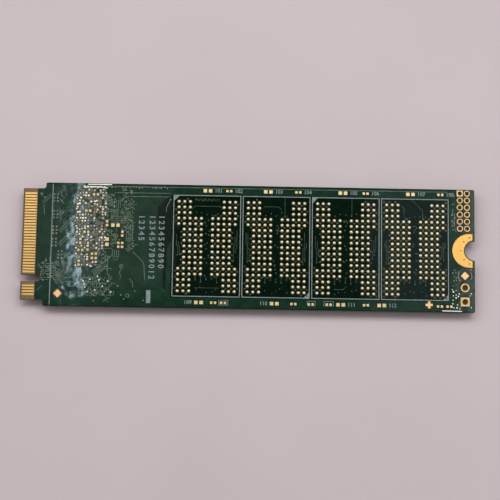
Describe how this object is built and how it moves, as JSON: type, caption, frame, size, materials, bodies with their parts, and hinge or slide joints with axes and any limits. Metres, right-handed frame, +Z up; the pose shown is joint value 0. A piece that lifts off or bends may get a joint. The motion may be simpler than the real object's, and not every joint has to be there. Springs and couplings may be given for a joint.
{
  "type": "m2 nvme ssd",
  "caption": "Slim solid-state drive card with a keyed gold edge connector and a half-round screw notch; bare gold land grids on the upper face, chips underneath.",
  "frame": {"origin": "under the middle of the card, on the surface that it lies on", "axes": "+X from the edge connector to the screw notch, +Y across the card away from the key slot, +Z up out of the face with the empty package sites"},
  "size_m": [0.08, 0.022, 0.0021],
  "materials": {
    "solder_mask": "glossy green solder mask over glass-fibre laminate",
    "gold_plating": "thin gold over nickel on copper",
    "white_print": "screen-printed white ink",
    "mould_compound": "fine matt moulded epoxy",
    "pressed_ferrite": "pressed metal powder",
    "capacitor_ceramic": "fired ceramic with tinned ends",
    "resistor_film": "glazed film on ceramic with tinned ends",
    "crystal_lid": "welded metal lid on a ceramic base"
  },
  "bodies": {
    "root": {"circuit_board": "solder_mask", "edge_contacts_back": "gold_plating", "edge_contacts_front": "gold_plating", "header_sleeves": "gold_plating", "round_test_sleeve": "gold_plating", "square_test_sleeve": "gold_plating", "ground_pad_back": "gold_plating", "ground_pad_front": "gold_plating", "alignment_diamonds": "gold_plating", "alignment_cross": "gold_plating", "upper_edge_pads": "gold_plating", "lower_edge_pads": "gold_plating", "controller_pads": "gold_plating", "flash_site_1_lands": "gold_plating", "flash_site_2_lands": "gold_plating", "flash_site_3_lands": "gold_plating", "flash_site_4_lands": "gold_plating", "flash_site_1_print": "white_print", "flash_site_2_print": "white_print", "flash_site_3_print": "white_print", "flash_site_4_print": "white_print", "connector_line": "white_print", "printed_bar": "white_print", "flash_package_1": "mould_compound", "flash_package_2": "mould_compound", "flash_package_3": "mould_compound", "flash_package_4": "mould_compound", "controller": "mould_compound", "working_memory": "mould_compound", "power_manager": "mould_compound", "boot_memory": "mould_compound", "load_switch": "mould_compound", "power_inductor_1": "pressed_ferrite", "power_inductor_2": "pressed_ferrite", "power_inductor_3": "pressed_ferrite", "bulk_capacitors": "capacitor_ceramic", "edge_capacitors_large": "capacitor_ceramic", "edge_capacitors_small": "capacitor_ceramic", "coupling_capacitors": "capacitor_ceramic", "decoupling_capacitors": "capacitor_ceramic", "chip_resistors": "resistor_film", "clock_crystal": "crystal_lid"}
  },
  "joints": []
}
